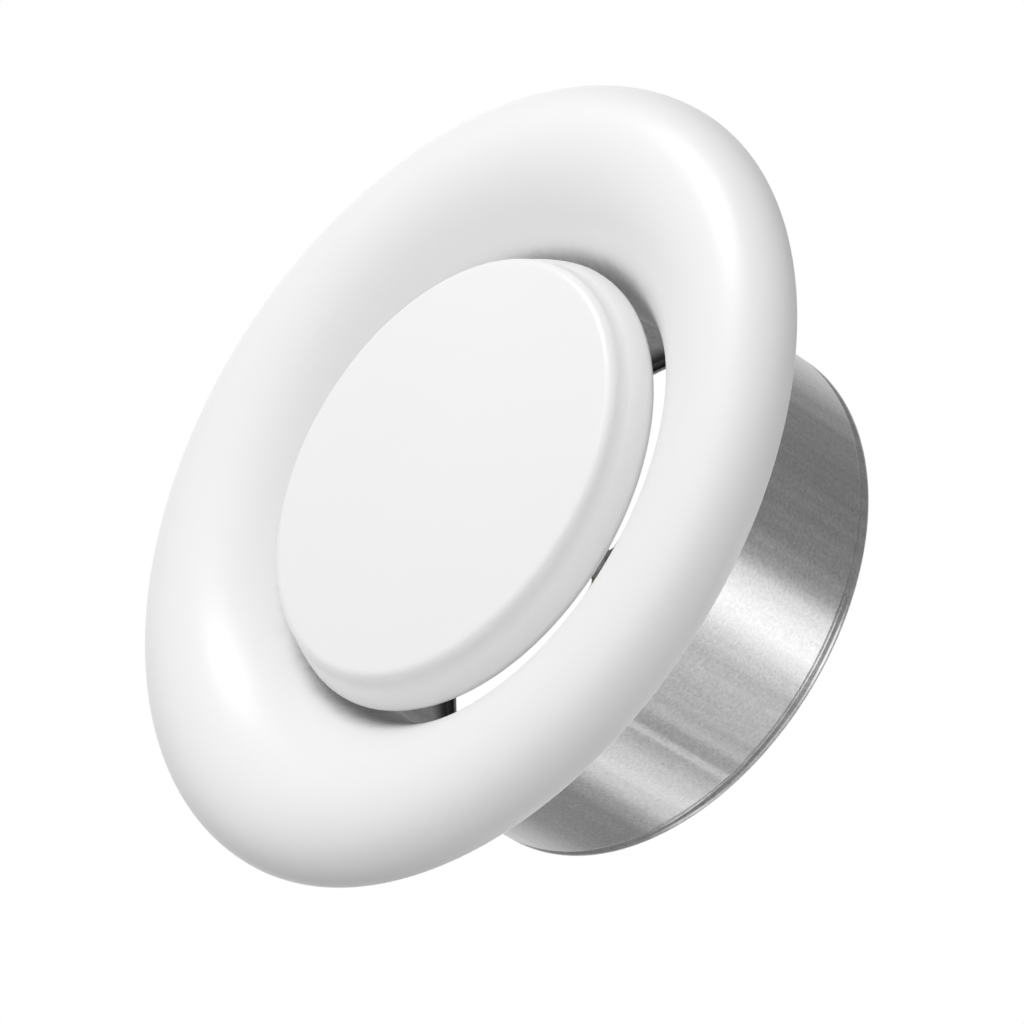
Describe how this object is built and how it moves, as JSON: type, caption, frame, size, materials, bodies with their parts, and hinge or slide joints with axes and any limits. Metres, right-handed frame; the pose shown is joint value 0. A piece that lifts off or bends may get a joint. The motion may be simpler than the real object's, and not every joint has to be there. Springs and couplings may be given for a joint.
{
  "type": "ceiling air diffuser",
  "caption": "Round ceiling air diffuser: white bulged ring and adjustable screw disc in a galvanised duct collar, with bridge, lock nut and spring clips.",
  "frame": {"origin": "on the valve's axis, in the ceiling plane that the collar's flange and the rim's gasket lie against", "axes": "+Z along the axis, up into the duct; -Z faces the room; +X along the bridge"},
  "size_m": [0.15, 0.15, 0.0695],
  "materials": {
    "white_paint": "semi-gloss powder coat, white",
    "galvanised_steel": "bright galvanised sheet, brushed",
    "plated_steel": "zinc-plated, bright",
    "spring_steel": "dark spring strip, satin",
    "brass": "turned brass",
    "grey_foam": "closed-cell foam, matt"
  },
  "bodies": {
    "collar": {"mounting_collar": "galvanised_steel"},
    "housing": {"face_ring": "white_paint", "rim_gasket": "grey_foam", "bridge": "galvanised_steel", "bridge_bush": "brass", "bridge_rivet_1": "plated_steel", "bridge_rivet_2": "plated_steel", "bridge_rivet_3": "plated_steel", "bridge_rivet_4": "plated_steel", "spring_clip_1": "spring_steel", "spring_clip_2": "spring_steel", "spring_clip_3": "spring_steel", "clip_rivet_1": "plated_steel", "clip_rivet_2": "plated_steel", "clip_rivet_3": "plated_steel"},
    "clip_travel": {"end_stop_clip": "spring_steel"},
    "disc": {"disc_front": "white_paint", "disc_back": "galvanised_steel", "disc_hub": "plated_steel", "disc_nut": "plated_steel", "spindle": "plated_steel"},
    "washer_travel": {"lock_washer": "plated_steel"},
    "lock_nut": {"lock_nut": "plated_steel"}
  },
  "joints": [
    {"name": "valve_pull", "type": "slide", "parent": "collar", "child": "housing", "axis": [0, 0, -1], "range_m": [0, 0.027]},
    {"name": "disc_travel", "type": "slide", "parent": "housing", "child": "clip_travel", "axis": [0, 0, -1], "range_m": [-0.003, 0.007]},
    {"name": "disc_turn", "type": "hinge", "parent": "clip_travel", "child": "disc", "pos_m": [0, 0, 0], "axis": [0, 0, -1], "range_deg": [-1081, 2521]},
    {"name": "lock_nut_travel", "type": "slide", "parent": "housing", "child": "washer_travel", "axis": [0, 0, 1], "range_m": [0, 0.0025]},
    {"name": "lock_nut_turn", "type": "hinge", "parent": "washer_travel", "child": "lock_nut", "pos_m": [0, 0, 0], "axis": [0, 0, 1], "range_deg": [0, 901]}
  ],
  "couplings": [
    {"joint": "disc_turn", "follows": "disc_travel", "rad_per_m": 6283.2},
    {"joint": "lock_nut_turn", "follows": "lock_nut_travel", "rad_per_m": 6283.2}
  ]
}
